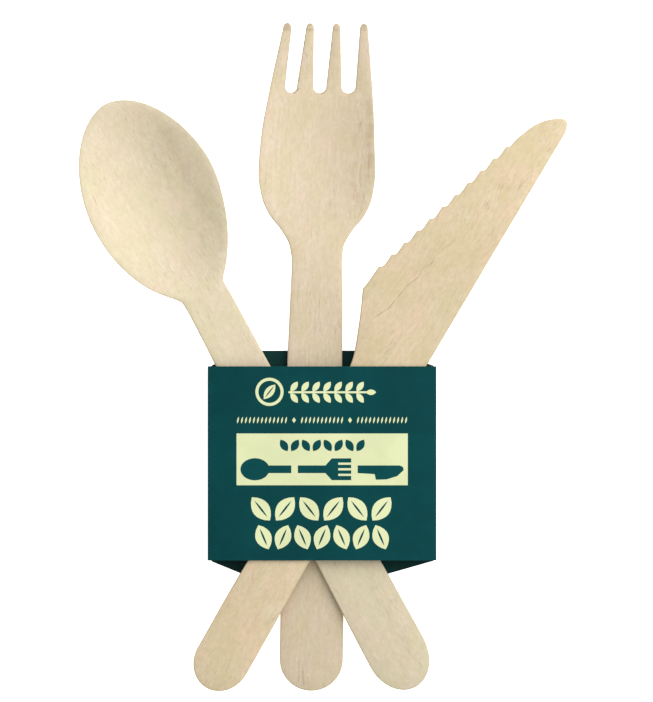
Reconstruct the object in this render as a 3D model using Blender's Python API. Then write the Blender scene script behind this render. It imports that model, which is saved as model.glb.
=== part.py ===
"""Wooden cutlery pack: a spoon, a fork and a knife fanned out of a short folded card sleeve.

The pack lies on the back panel of its sleeve. The origin is the centre of that panel's outer
face, +Y runs along the fork towards the heads of the cutlery, +X to the right and +Z out of
the sleeve's front panel. Each piece of cutlery is drawn flat in its own frame, with y from
the end of its handle and x to its right, then bent to its mid-height and given its thickness.
Lengths are in millimetres until a mesh is made.
"""
import math

import bpy
from mathutils.geometry import delaunay_2d_cdt

MM = 0.001

# Material thickness and the order of the stack, from the table up.
WOOD = 1.6                  # pressed birch veneer
CARD = 0.4                  # folded card
FORK_LEVEL = 1.5            # mid-height of each flat handle
SPOON_LEVEL = 3.4
KNIFE_LEVEL = 5.3
FRONT_BOTTOM = 6.4          # inner face of the sleeve's front panel

# Where each handle's end lies, and how far the piece leans to the right, in degrees.
FORK_PLACE, FORK_LEAN = (-2.76, -56.38), 0.73
SPOON_PLACE, SPOON_LEAN = (22.64, -54.58), -28.2
KNIFE_PLACE, KNIFE_LEAN = (-22.32, -58.04), 30.48

# Fork.
FORK_LENGTH = 165.3
FORK_END_BOW = 7.8
FORK_HALF_WIDTH = ((7.5, 7.85), (12, 7.85), (88, 6.7), (98, 6.5), (106, 6.25), (110, 6.65),
                   (114, 8.72), (118, 11.85), (122, 13.62), (128, 14.5), (138, 14.03),
                   (150, 12.63))
FORK_SHIFT = ((22, 0.0), (80, -0.12), (88, 0.0), (97, 0.12), (105, 0.18), (111, 0.0),
              (118, -0.02), (128, -0.15), (134, -0.1), (150, 0.68), (165, 1.45))
FORK_SLOT_BOTTOM = 148.25
FORK_TINE_EDGE = (150.0, 164.0)                 # the two heights at which widths are given
FORK_OUTER_EDGES = ((-11.95, -8.98), (13.31, 12.05))
FORK_SLOTS = (((-6.85, 2.98), (-5.08, 3.6)),    # (centre, width) low, then high
              ((0.29, 3.26), (0.98, 4.56)),
              ((7.42, 3.48), (7.63, 4.78)))
FORK_RISE = ((88, FORK_LEVEL), (106, 2.9), (130, 1.1), (148, 2.6), (166, 6.1))
FORK_DISH = ((108, 0.0), (130, 2.5), (150, 1.8), (166, 0.8))    # height gained at the sides

# Spoon.
SPOON_LENGTH = 162.4
SPOON_END = -1.15
SPOON_END_BOW = 9.55
SPOON_HANDLE = ((12, 7.5), (21, 7.37), (100, 5.82), (112, 5.7), (164, 5.0))
SPOON_BOWL_CENTRE = 137.0
SPOON_BOWL_HALF_WIDTH = 16.65
SPOON_BOWL_BACK = 28.0       # from the bowl's widest line back to the neck
SPOON_BOWL_POWER = 1.85      # below 2, so a little more pointed than an ellipse
SPOON_SHIFT = ((22, 0.0), (60, -0.1), (90, -0.1), (98, -0.02), (106, 0.02), (112, -0.2),
               (118, -0.45), (126, -0.33), (137, 0.15), (163, 0.65))
SPOON_RISE = ((84, SPOON_LEVEL), (110, 5.5), (136, 6.5), (164, 6.9))
SPOON_DEPTH = 5.5

# Knife, with its nearly straight spine along x = 0.
KNIFE_END = -1.1
KNIFE_END_BOW = 7.8
KNIFE_HANDLE_EDGES = (-13.62, 0.15)
KNIFE_FLARE = ((9, -13.62), (22, -13.85), (40, -13.75), (60, -14.1), (86, -16.5), (96, -19.95),
               (103.7, -23.42))
KNIFE_SPINE = ((9, 0.15), (24, -0.2), (40, -0.5), (60, -0.5), (100, -0.12), (128, 0.0),
               (162.6, 0.2))
KNIFE_TOOTH_COUNT = 11
KNIFE_TOOTH_PITCH = 4.15
KNIFE_TOOTH_STEP = 1.205
KNIFE_FIRST_TOOTH = (-22.82, 110.4)
KNIFE_TIP = ((-9.3, 155.4), (-7.4, 160.0), (-5.0, 163.1), (-2.15, 165.05), (-0.65, 164.8),
             (0.2, 162.6))

# Sleeve.
FRONT_HALF_WIDTH = 28.3
BACK_HALF_WIDTH = 28.15
SLEEVE_HALF_HEIGHT = 24.0
SLEEVE_LOW_CORNER = 24.36    # how far the lower corners of the back panel reach
FOLD_RADIUS = 0.5
BACK_TOP_REACH, BACK_TOP_CORNER = 27.9, 17.5
BACK_LOW_REACH, BACK_LOW_CORNERS = 27.68, (-20.0, 16.5)
FLAP_EDGE = -15.0            # the glue flap reaches from the left fold to here
FLAP_END = 22.0


def through(stations):
    """Returns a smooth function through (position, value) stations, without overshoot."""
    xs = [s[0] for s in stations]
    ys = [s[1] for s in stations]
    steps = [(ys[i + 1] - ys[i]) / (xs[i + 1] - xs[i]) for i in range(len(xs) - 1)]
    slopes = [steps[0]]
    for before, after in zip(steps, steps[1:]):
        slopes.append(2 * before * after / (before + after) if before * after > 0 else 0.0)
    slopes.append(steps[-1])

    def value(x):
        if x <= xs[0]:
            return ys[0]
        if x >= xs[-1]:
            return ys[-1]
        i = max(k for k in range(len(xs) - 1) if xs[k] <= x)
        span = xs[i + 1] - xs[i]
        t = (x - xs[i]) / span
        return ((1 + 2 * t) * (1 - t) ** 2 * ys[i] + t * (1 - t) ** 2 * span * slopes[i]
                + t * t * (3 - 2 * t) * ys[i + 1] + t * t * (t - 1) * span * slopes[i + 1])
    return value


def curve(points, per_span=5):
    """Returns points along a Catmull-Rom curve through the given ones, ends included."""
    guide = [points[0]] + list(points) + [points[-1]]
    found = []
    for a, b, c, d in zip(guide, guide[1:], guide[2:], guide[3:]):
        for step in range(per_span):
            t = step / per_span
            found.append(tuple(
                0.5 * (2 * q + (r - p) * t + (2 * p - 5 * q + 4 * r - s) * t * t
                       + (3 * q - p - 3 * r + s) * t ** 3)
                for p, q, r, s in zip(a, b, c, d)))
    return found + [points[-1]]


def arc(centre, radius_x, radius_y, start, end, steps):
    """Returns points on an elliptical arc between two angles in degrees."""
    return [(centre[0] + radius_x * math.cos(math.radians(start + (end - start) * i / steps)),
             centre[1] + radius_y * math.sin(math.radians(start + (end - start) * i / steps)))
            for i in range(steps + 1)]


def spread(low, high, step):
    """Returns evenly spaced values from low to high, both included."""
    count = max(1, round((high - low) / step))
    return [low + (high - low) * i / count for i in range(count + 1)]


def inside(point, outline, clearance):
    """Says whether a point lies in the outline, at least clearance away from its edge."""
    x, y = point
    within = False
    for (ax, ay), (bx, by) in zip(outline, outline[1:] + outline[:1]):
        if (ay > y) != (by > y) and x < ax + (bx - ax) * (y - ay) / (by - ay):
            within = not within
        length = (bx - ax) ** 2 + (by - ay) ** 2
        t = min(1.0, max(0.0, ((x - ax) * (bx - ax) + (y - ay) * (by - ay)) / length))
        if math.hypot(ax + t * (bx - ax) - x, ay + t * (by - ay) - y) < clearance:
            return False
    return within


def filling(outline, from_y, step):
    """Returns staggered inner points above from_y, so that the head can take its dish."""
    width = max(abs(x) for x, _ in outline)
    top = max(y for _, y in outline)
    points = []
    for row, y in enumerate(spread(from_y, top, step * 0.87)):
        for x in spread(-width, width, step):
            candidate = (x + (row % 2) * step / 2, y)
            if inside(candidate, outline, step * 0.45):
                points.append(candidate)
    return points


def closed_plate(outline, inner, height):
    """Returns vertices in metres and faces of a plate WOOD thick, bent to height(x, y)."""
    count = len(outline)
    edges = [(i, (i + 1) % count) for i in range(count)]
    points, _, faces, *_ = delaunay_2d_cdt(outline + inner, edges, [], 1, 1e-6)
    total = len(points)
    mids = [height(x, y) for x, y in points]
    verts = [(x * MM, y * MM, (z + WOOD / 2) * MM) for (x, y), z in zip(points, mids)]
    verts += [(x * MM, y * MM, (z - WOOD / 2) * MM) for (x, y), z in zip(points, mids)]
    solid = [tuple(f) for f in faces]
    solid += [tuple(total + i for i in reversed(f)) for f in faces]
    used = {(f[i], f[(i + 1) % len(f)]) for f in faces for i in range(len(f))}
    for a, b in used:
        if (b, a) not in used:
            solid.append((b, a, total + a, total + b))
    return verts, solid


def material(name, colour, roughness):
    """Returns a plain Principled material."""
    mat = bpy.data.materials.new(name)
    mat.use_nodes = True
    shader = mat.node_tree.nodes["Principled BSDF"]
    shader.inputs["Base Color"].default_value = (*colour, 1.0)
    shader.inputs["Roughness"].default_value = roughness
    shader.inputs["Metallic"].default_value = 0.0
    return mat


def add_object(name, verts, faces, mat, place=(0.0, 0.0), lean=0.0):
    """Adds a mesh object whose own +Y leans to the right by lean degrees."""
    mesh = bpy.data.meshes.new(name)
    mesh.from_pydata(verts, [], faces)
    mesh.materials.append(mat)
    mesh.update()
    mesh.shade_smooth()
    mesh.set_sharp_from_angle(angle=math.radians(35))
    piece = bpy.data.objects.new(name, mesh)
    piece.location = (place[0] * MM, place[1] * MM, 0.0)
    piece.rotation_euler = (0.0, 0.0, -math.radians(lean))
    bpy.context.scene.collection.objects.link(piece)
    return piece


def fork_outline():
    """Returns the fork's outline: round handle end, waist, shoulders and four tines."""
    half = through(FORK_HALF_WIDTH)
    shift = through(FORK_SHIFT)
    levels = [12.0, 50.0, 84.0] + spread(88, 108, 4) + spread(110, 130, 2) + spread(134, 150, 4)
    right = [(shift(y) + half(y), y) for y in levels]
    left = [(shift(y) - half(y), y) for y in reversed(levels)]
    end = arc((0, 7.5), 7.85, FORK_END_BOW, -180, 0, 16)
    return end + right + fork_tines() + left


def fork_tines():
    """Returns the outline of the four tines and three round-bottomed slots, right to left."""
    low, high = FORK_TINE_EDGE
    tip = FORK_LENGTH - 1.3

    def at(edge, y):
        return edge[0] + (edge[1] - edge[0]) * (y - low) / (high - low)

    walls = [FORK_OUTER_EDGES[0]]
    for (low_x, low_w), (high_x, high_w) in FORK_SLOTS:
        walls.append((low_x - low_w / 2, high_x - high_w / 2))
        walls.append((low_x + low_w / 2, high_x + high_w / 2))
    walls.append(FORK_OUTER_EDGES[1])
    points = []
    for tine in (3, 2, 1, 0):
        left, right = walls[2 * tine], walls[2 * tine + 1]
        if tine < 3:
            points += [(at(right, y), y) for y in (150.3, 156.0, 160.0)]
        else:
            points += [(at(right, y), y) for y in (154.0, 158.0, 161.0)]
        centre, half = (at(left, tip) + at(right, tip)) / 2, (at(right, tip) - at(left, tip)) / 2
        points += arc((centre, tip), half, 1.3, 0, 180, 6)
        if tine > 0:
            points += [(at(left, y), y) for y in (160.0, 156.0, 150.3)]
            low_x, low_w = FORK_SLOTS[tine - 1][0]
            radius = low_w / 2
            points += arc((low_x, FORK_SLOT_BOTTOM + radius), radius, radius, -22, -158, 6)
        else:
            points += [(at(left, y), y) for y in (161.0, 158.0, 154.0)]
    return points


def fork_height(x, y):
    """Returns the fork's mid-height: a flat handle, then a head dished across its width."""
    return through(FORK_RISE)(y) + through(FORK_DISH)(y) * (x / 14.5) ** 2


def spoon_half_width(y):
    """Returns the larger of the tapered handle's and the egg-shaped bowl's half width."""
    handle = through(SPOON_HANDLE)(y)
    reach = SPOON_BOWL_BACK if y < SPOON_BOWL_CENTRE else SPOON_LENGTH - SPOON_BOWL_CENTRE
    t = min(1.0, abs(y - SPOON_BOWL_CENTRE) / reach)
    bowl = SPOON_BOWL_HALF_WIDTH * (1 - t ** SPOON_BOWL_POWER) ** (1 / SPOON_BOWL_POWER)
    if y > SPOON_BOWL_CENTRE:
        return bowl
    sharp = 6.0                 # blends the two with a small fillet at the neck
    return (handle ** sharp + bowl ** sharp) ** (1 / sharp)


def spoon_outline():
    """Returns the spoon's outline: round handle end, straight taper, neck and bowl."""
    shift = through(SPOON_SHIFT)
    levels = ([12.0, 21.0, 50.0, 84.0] + spread(90, 106, 4) + spread(108, 116, 1)
              + spread(118, 136, 3))
    reach = SPOON_LENGTH - SPOON_BOWL_CENTRE
    levels += [SPOON_BOWL_CENTRE + reach * math.sin(math.radians(a)) for a in range(6, 85, 6)]
    right = [(shift(y) + spoon_half_width(y), y) for y in levels]
    left = [(shift(y) - spoon_half_width(y), y) for y in reversed(levels)]
    centre_y = SPOON_END + SPOON_END_BOW
    end = arc((0, centre_y), 7.5, SPOON_END_BOW, -180, 0, 16)
    return end + right + [(shift(SPOON_LENGTH), SPOON_LENGTH)] + left


def spoon_height(x, y):
    """Returns the spoon's mid-height: a flat handle rising to a shallow bowl."""
    base = through(SPOON_RISE)(y)
    reach = SPOON_BOWL_BACK if y < SPOON_BOWL_CENTRE else SPOON_LENGTH - SPOON_BOWL_CENTRE
    across = (x - through(SPOON_SHIFT)(y)) / SPOON_BOWL_HALF_WIDTH
    along = (y - SPOON_BOWL_CENTRE) / reach
    away = across ** 2 + along ** 2
    return base - SPOON_DEPTH * max(0.0, 1 - away) ** 1.3


def knife_outline():
    """Returns the knife's outline: round end, flared heel, stepped teeth and round tip."""
    left, right = KNIFE_HANDLE_EDGES
    end = arc(((left + right) / 2, KNIFE_END + KNIFE_END_BOW), (right - left) / 2,
              KNIFE_END_BOW, -180, 0, 16)
    waist = through(KNIFE_SPINE)
    spine = [(waist(y), y) for y in (16.0, 24.0, 32.0, 40.0, 60.0, 80.0, 100.0, 128.0)]
    tip = list(reversed(curve(KNIFE_TIP)))
    teeth = [(-23.1, 106.0)]
    x, y = KNIFE_FIRST_TOOTH
    for tooth in range(KNIFE_TOOTH_COUNT):
        teeth.append((x + tooth * KNIFE_TOOTH_STEP, y + tooth * KNIFE_TOOTH_PITCH))
        teeth.append((x + tooth * KNIFE_TOOTH_STEP + 1.0, y + tooth * KNIFE_TOOTH_PITCH + 1.0))
    flare = through(KNIFE_FLARE)
    belly = [(flare(y), y) for y in [22.0, 40.0] + spread(60, 103.7, 3.4)]
    return end + spine + tip + list(reversed(teeth)) + list(reversed(belly))


def end_reach(x, z, on_back, side):
    """Returns how far the card reaches at a station, above (side 1) or below (-1) the middle.

    The back panel has slanted die-cut corners, and the side panels join them to the front.
    """
    base = SLEEVE_HALF_HEIGHT if side > 0 else SLEEVE_LOW_CORNER
    if not on_back:
        share = min(1.0, z / (FRONT_BOTTOM + CARD - FOLD_RADIUS))
        return base + (SLEEVE_HALF_HEIGHT - base) * share
    reach, left, right = ((BACK_TOP_REACH, -BACK_TOP_CORNER, BACK_TOP_CORNER) if side > 0
                          else (BACK_LOW_REACH, *BACK_LOW_CORNERS))
    corner = left if x < 0 else right
    slant = (BACK_HALF_WIDTH - abs(x)) / (BACK_HALF_WIDTH - abs(corner))
    return base + (reach - base) * min(1.0, max(0.0, slant))


def sleeve_section():
    """Returns the sleeve's section as (outer, inner, on the back, under the flap) stations."""
    top = FRONT_BOTTOM + CARD
    stations = []
    xs = (-BACK_HALF_WIDTH + FOLD_RADIUS, BACK_LOW_CORNERS[0], -BACK_TOP_CORNER, FLAP_EDGE - 0.1,
          FLAP_EDGE, BACK_LOW_CORNERS[1], BACK_TOP_CORNER, BACK_HALF_WIDTH - FOLD_RADIUS)
    for x in xs:
        stations.append(((x, 0.0), (x, CARD), True, x <= FLAP_EDGE - 0.1))
    for side in (1, -1):
        folds = [((BACK_HALF_WIDTH - FOLD_RADIUS, FOLD_RADIUS), -90),
                 ((FRONT_HALF_WIDTH - FOLD_RADIUS, top - FOLD_RADIUS), 0)]
        ring = []
        for (x, z), start in folds:
            for angle in (start, start + 30, start + 60, start + 90):
                c, s = math.cos(math.radians(angle)), math.sin(math.radians(angle))
                outer = (x + FOLD_RADIUS * c, z + FOLD_RADIUS * s)
                inner = (x + (FOLD_RADIUS - CARD) * c, z + (FOLD_RADIUS - CARD) * s)
                ring.append(((side * outer[0], outer[1]), (side * inner[0], inner[1]),
                             False, False))
        ring = ring[1:]
        stations += ring if side > 0 else list(reversed(ring))
    return stations


def make_sleeve(mat):
    """Builds the folded card as one tube whose back panel is longer than its front.

    Rows of the tube run along y. The end rows follow the slanted cut of the back panel, and
    the flap's double thickness lies between the rows at plus and minus FLAP_END.
    """
    stations = sleeve_section()
    rows = (-SLEEVE_HALF_HEIGHT, -FLAP_END - 0.1, -FLAP_END, FLAP_END, FLAP_END + 0.1,
            SLEEVE_HALF_HEIGHT)
    verts, faces = [], []
    for row, y in enumerate(rows):
        end = row in (0, len(rows) - 1)
        for outer, inner, on_back, flap in stations:
            reach = (math.copysign(end_reach(outer[0], outer[1], on_back, y), y) if end else y)
            lift = CARD if flap and abs(y) <= FLAP_END else 0.0
            verts.append((outer[0] * MM, reach * MM, outer[1] * MM))
            verts.append((inner[0] * MM, reach * MM, (inner[1] + lift) * MM))
    count = len(stations)
    for row in range(len(rows) - 1):
        for i in range(count):
            a, b = (row * count + i) * 2, (row * count + (i + 1) % count) * 2
            c, d = a + 2 * count, b + 2 * count
            faces.append((a, c, d, b))
            faces.append((a + 1, b + 1, d + 1, c + 1))
    last = (len(rows) - 1) * count * 2
    for i in range(count):
        a, b = i * 2, ((i + 1) % count) * 2
        faces.append((a, b, b + 1, a + 1))
        faces.append((last + b, last + a, last + a + 1, last + b + 1))
    return add_object("card_sleeve", verts, faces, mat)


def make_cutlery(wood):
    """Builds the fork, the spoon and the knife, from the lowest to the highest."""
    fork = fork_outline()
    add_object("fork", *closed_plate(fork, filling(fork, 90.0, 3.6), fork_height),
               wood["fork"], FORK_PLACE, FORK_LEAN)
    spoon = spoon_outline()
    add_object("spoon", *closed_plate(spoon, filling(spoon, 88.0, 3.2), spoon_height),
               wood["spoon"], SPOON_PLACE, SPOON_LEAN)
    knife = knife_outline()
    add_object("knife", *closed_plate(knife, [], lambda x, y: KNIFE_LEVEL),
               wood["knife"], KNIFE_PLACE, KNIFE_LEAN)


def main():
    """Clears the scene and builds the pack."""
    for old in list(bpy.data.objects):
        bpy.data.objects.remove(old, do_unlink=True)
    wood = {name: material(name + "_birch", colour, 0.75)
            for name, colour in (("fork", (0.79, 0.65, 0.45)), ("spoon", (0.80, 0.67, 0.47)),
                                 ("knife", (0.77, 0.63, 0.41)))}
    make_cutlery(wood)
    make_sleeve(material("green_card", (0.006, 0.066, 0.069), 0.7))


main()
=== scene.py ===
"""Wooden cutlery pack, the visual model: three pieces of pressed birch in a printed card sleeve.

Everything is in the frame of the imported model: the sleeve's back panel lies on z = 0, +Y runs
towards the heads of the cutlery and +Z out of the printed panel. Each wooden piece is drawn
flat in its own frame, with y from the end of its handle and x to its right, in millimetres,
and is then bent, thickened and laid in its place.
"""

import logging
import math
from dataclasses import dataclass, field
from enum import Enum
from typing import Any, Callable, Iterable, Sequence

import bpy
from mathutils import Matrix, Vector
from mathutils.geometry import delaunay_2d_cdt


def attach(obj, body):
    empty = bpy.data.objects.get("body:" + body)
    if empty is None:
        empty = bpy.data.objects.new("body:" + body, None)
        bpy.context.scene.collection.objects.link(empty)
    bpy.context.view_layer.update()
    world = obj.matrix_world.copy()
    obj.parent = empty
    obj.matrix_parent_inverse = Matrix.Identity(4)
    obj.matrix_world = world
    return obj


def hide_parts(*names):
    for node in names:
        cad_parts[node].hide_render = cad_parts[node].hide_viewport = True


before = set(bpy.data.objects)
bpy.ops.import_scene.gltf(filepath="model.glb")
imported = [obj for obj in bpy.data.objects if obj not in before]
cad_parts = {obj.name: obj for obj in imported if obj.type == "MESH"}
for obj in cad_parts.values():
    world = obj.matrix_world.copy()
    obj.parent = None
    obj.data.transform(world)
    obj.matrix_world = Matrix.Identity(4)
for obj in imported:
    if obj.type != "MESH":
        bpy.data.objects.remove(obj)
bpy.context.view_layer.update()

LOG = logging.getLogger("cutlery_pack")
MM = 0.001
WOOD = 1.6                      # thickness of the pressed veneer
CARD = 0.4                      # thickness of the folded card
BODY = "root"

Point = tuple[float, float]
Point3 = tuple[float, float, float]
Colour = tuple[float, float, float]
Stations = Sequence[tuple[float, float]]
Station = tuple[Point, Point, bool, float]


# Drawing

class Profile:
    """A smooth function through (position, value) stations, without overshoot."""

    def __init__(self, stations: Stations) -> None:
        """Works out the slope at each station.

        Args:
            stations: (position, value) pairs in rising order of position.
        """
        self.xs = [s[0] for s in stations]
        self.ys = [s[1] for s in stations]
        steps = [(self.ys[i + 1] - self.ys[i]) / (self.xs[i + 1] - self.xs[i])
                 for i in range(len(stations) - 1)]
        self.slopes = [steps[0]]
        for before, after in zip(steps, steps[1:]):
            same_way = before * after > 0
            self.slopes.append(2 * before * after / (before + after) if same_way else 0.0)
        self.slopes.append(steps[-1])

    def __call__(self, x: float) -> float:
        """Works out the profile at one place.

        Args:
            x: The position.

        Returns:
            The value there, held level beyond the end stations.
        """
        xs, ys = self.xs, self.ys
        if x <= xs[0]:
            return ys[0]
        if x >= xs[-1]:
            return ys[-1]
        i = max(k for k in range(len(xs) - 1) if xs[k] <= x)
        span = xs[i + 1] - xs[i]
        t = (x - xs[i]) / span
        return ((1 + 2 * t) * (1 - t) ** 2 * ys[i] + t * (1 - t) ** 2 * span * self.slopes[i]
                + t * t * (3 - 2 * t) * ys[i + 1] + t * t * (t - 1) * span * self.slopes[i + 1])


def spread(low: float, high: float, step: float) -> list[float]:
    """Returns evenly spaced values from low to high, both included."""
    count = max(1, round((high - low) / step))
    return [low + (high - low) * i / count for i in range(count + 1)]


def arc(centre: Point, radius_x: float, radius_y: float, start: float, end: float,
        steps: int) -> list[Point]:
    """Returns points on an elliptical arc.

    Args:
        centre: The arc's centre.
        radius_x: Radius along x.
        radius_y: Radius along y.
        start: First angle in degrees.
        end: Last angle in degrees.
        steps: Number of segments.

    Returns:
        The steps + 1 points of the arc.
    """
    turn = [math.radians(start + (end - start) * i / steps) for i in range(steps + 1)]
    return [(centre[0] + radius_x * math.cos(a), centre[1] + radius_y * math.sin(a))
            for a in turn]


def curve(points: Sequence[Point], per_span: int = 8) -> list[Point]:
    """Rounds a row of points with a Catmull-Rom curve.

    Args:
        points: What the curve passes through.
        per_span: Points for each stretch between two of them.

    Returns:
        Points along the curve, both ends included.
    """
    guide = [points[0], *points, points[-1]]
    found: list[Point] = []
    for a, b, c, d in zip(guide, guide[1:], guide[2:], guide[3:]):
        for step in range(per_span):
            t = step / per_span
            x, y = (0.5 * (2 * q + (r - p) * t + (2 * p - 5 * q + 4 * r - s) * t * t
                           + (3 * q - p - 3 * r + s) * t ** 3) for p, q, r, s in zip(a, b, c, d))
            found.append((x, y))
    return found + [points[-1]]


def refined(points: Sequence[Point], step: float) -> list[Point]:
    """Divides the long sides of a closed outline.

    Args:
        points: The outline.
        step: About how long a side may stay.

    Returns:
        The same outline with more points.
    """
    found: list[Point] = []
    for (ax, ay), (bx, by) in zip(points, [*points[1:], points[0]]):
        length = math.hypot(bx - ax, by - ay)
        if length < 1e-4:
            continue
        parts = max(1, round(length / step))
        found += [(ax + (bx - ax) * i / parts, ay + (by - ay) * i / parts)
                  for i in range(parts)]
    return found


def inset(points: Sequence[Point], distance: float) -> list[Point]:
    """Shrinks a counterclockwise outline evenly.

    Args:
        points: The outline.
        distance: How far each side moves inwards.

    Returns:
        The moved points, one for each given point.
    """
    moved: list[Point] = []
    count = len(points)
    for i, (x, y) in enumerate(points):
        before, after = points[i - 1], points[(i + 1) % count]
        a = Vector((x - before[0], y - before[1])).normalized()
        b = Vector((after[0] - x, after[1] - y)).normalized()
        normal = Vector((-a.y - b.y, a.x + b.x))
        if normal.length < 1e-6:
            normal = Vector((-a.y, a.x))
        normal.normalize()
        stretch = min(1.4, 1.0 / max(0.2, normal.dot(Vector((-a.y, a.x)))))
        moved.append((x + normal.x * distance * stretch, y + normal.y * distance * stretch))
    return moved


def within(point: Point, outline: Sequence[Point], clearance: float = 0.0) -> bool:
    """Tests a point against an outline.

    Args:
        point: The point.
        outline: The closed outline.
        clearance: How far from the edge the point has to be.

    Returns:
        Whether the point is inside and clear of the edge.
    """
    x, y = point
    found = False
    for (ax, ay), (bx, by) in zip(outline, [*outline[1:], outline[0]]):
        if (ay > y) != (by > y) and x < ax + (bx - ax) * (y - ay) / (by - ay):
            found = not found
        if clearance and abs((ay + by) / 2 - y) < clearance + 5.0:
            length = (bx - ax) ** 2 + (by - ay) ** 2
            t = min(1.0, max(0.0, ((x - ax) * (bx - ax) + (y - ay) * (by - ay)) / length))
            if math.hypot(ax + t * (bx - ax) - x, ay + t * (by - ay) - y) < clearance:
                return False
    return found


def triangulated(points: Sequence[Point], edges: Sequence[tuple[int, int]]
                 ) -> tuple[list[Point], list[Sequence[int]], list[int]]:
    """Fills the outer loop of a drawing with triangles that keep all of its edges.

    Args:
        points: The drawing's points.
        edges: Its edges, as pairs of points.

    Returns:
        The triangles' points, the triangles, and where each drawing point went.
    """
    found, _, tris, origins, *_ = delaunay_2d_cdt(list(points), list(edges), [], 1, 1e-6)
    place = [0] * len(points)
    for index, sources in enumerate(origins):
        for source in sources:
            place[source] = index
    return [(p[0], p[1]) for p in found], [tuple(t) for t in tris], place


def new_object(name: str, verts: Iterable[Point3], faces: Iterable[Sequence[int]],
               sharp: float = 40.0) -> bpy.types.Object:
    """Adds a smooth mesh object.

    Args:
        name: The piece's name.
        verts: Vertices in millimetres.
        faces: Faces as vertex indices.
        sharp: Angle in degrees above which an edge stays sharp.

    Returns:
        The new object.
    """
    mesh = bpy.data.meshes.new(name)
    mesh.from_pydata([tuple(c * MM for c in v) for v in verts], [], list(faces))
    mesh.update()
    mesh.shade_smooth()
    mesh.set_sharp_from_angle(angle=math.radians(sharp))
    piece = bpy.data.objects.new(name, mesh)
    bpy.context.scene.collection.objects.link(piece)
    return piece


# Materials

class Sheet:
    """A node tree being filled: a thin, named way to place and join its nodes."""

    def __init__(self, tree: bpy.types.NodeTree) -> None:
        """Keeps the tree to fill."""
        self.tree = tree

    def node(self, kind: str, inputs: dict[Any, Any] | None = None,
             **settings: Any) -> bpy.types.Node:
        """Adds a node.

        Args:
            kind: Blender's node type, without the ShaderNode prefix.
            inputs: Socket name or number to a value or to another node's output.
            settings: Properties of the node.

        Returns:
            The new node.
        """
        made = self.tree.nodes.new(kind if kind.startswith("Node") else "ShaderNode" + kind)
        for name, value in settings.items():
            setattr(made, name, value)
        for key, value in (inputs or {}).items():
            socket = made.inputs[key]
            if isinstance(value, bpy.types.NodeSocket):
                self.tree.links.new(value, socket)
            else:
                socket.default_value = value
        return made

    def math(self, operation: str, *values: Any, clamp: bool = False) -> bpy.types.NodeSocket:
        """Adds a Math node and returns its result."""
        made = self.node("Math", dict(enumerate(values)), operation=operation, use_clamp=clamp)
        return made.outputs[0]

    def remap(self, value: Any, low: float, high: float, to_low: float = 0.0,
              to_high: float = 1.0) -> bpy.types.NodeSocket:
        """Adds a smooth Map Range.

        Args:
            value: What is mapped.
            low: Value that becomes to_low.
            high: Value that becomes to_high.
            to_low: Result at and beyond low.
            to_high: Result at and beyond high.

        Returns:
            The result's socket.
        """
        made = self.node("MapRange", {"Value": value, "From Min": low, "From Max": high,
                                      "To Min": to_low, "To Max": to_high},
                         interpolation_type="SMOOTHSTEP")
        return made.outputs["Result"]

    def mix(self, factor: Any, a: Any, b: Any) -> bpy.types.NodeSocket:
        """Adds a colour Mix.

        Args:
            factor: Share of b.
            a: First colour or socket.
            b: Second colour or socket.

        Returns:
            The result's socket.
        """
        made = self.node("Mix", data_type="RGBA")
        for socket, value in ((made.inputs[0], factor), (made.inputs[6], a),
                              (made.inputs[7], b)):
            if isinstance(value, bpy.types.NodeSocket):
                self.tree.links.new(value, socket)
            else:
                socket.default_value = (*value, 1.0) if isinstance(value, tuple) else value
        return made.outputs[2]

    def noise(self, vector: Any, detail: float = 3.0, roughness: float = 0.5
              ) -> bpy.types.NodeSocket:
        """Adds a Noise Texture whose scale is the vector's own and returns its value."""
        made = self.node("TexNoise", {"Vector": vector, "Scale": 1.0, "Detail": detail,
                                      "Roughness": roughness})
        return made.outputs[0]

    def stretch(self, vector: Any, scale: Point3, shift: Point3 = (0, 0, 0)
                ) -> bpy.types.NodeSocket:
        """Adds a Mapping that scales and shifts a vector and returns its result."""
        made = self.node("Mapping", {"Vector": vector, "Location": shift, "Scale": scale})
        return made.outputs[0]

    def group(self, tree: bpy.types.NodeTree, **inputs: Any) -> Any:
        """Adds a node group, its inputs named with _ for a space, and returns its outputs."""
        named = {name.replace("_", " "): value for name, value in inputs.items()}
        return self.node("Group", named, node_tree=tree).outputs

    def surface(self, colour: Any, roughness: Any, height: Any, strength: float,
                distance: float) -> None:
        """Feeds the material's Principled shader.

        Args:
            colour: Socket of the base colour.
            roughness: Socket of the roughness.
            height: Socket of the relief's height.
            strength: Strength of the relief.
            distance: Depth of the relief in metres.
        """
        shader = self.tree.nodes["Principled BSDF"]
        bump = self.node("Bump", {"Height": height, "Strength": strength, "Distance": distance})
        for label, socket in (("Base Color", colour), ("Roughness", roughness),
                              ("Normal", bump.outputs[0])):
            self.tree.links.new(socket, shader.inputs[label])


def new_material(name: str, specular: float) -> bpy.types.Material:
    """Adds a material with a Principled shader.

    Args:
        name: The material's name.
        specular: Its specular level.

    Returns:
        The new material.
    """
    mat = bpy.data.materials.new(name)
    mat.use_nodes = True
    shader = mat.node_tree.nodes["Principled BSDF"]
    shader.inputs["Specular IOR Level"].default_value = specular
    return mat


def toned(colour: Colour, *shares: float) -> Colour:
    """Returns a colour times one share, or times one share for each channel."""
    red, green, blue = shares * 3 if len(shares) == 1 else shares
    return colour[0] * red, colour[1] * green, colour[2] * blue


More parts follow.
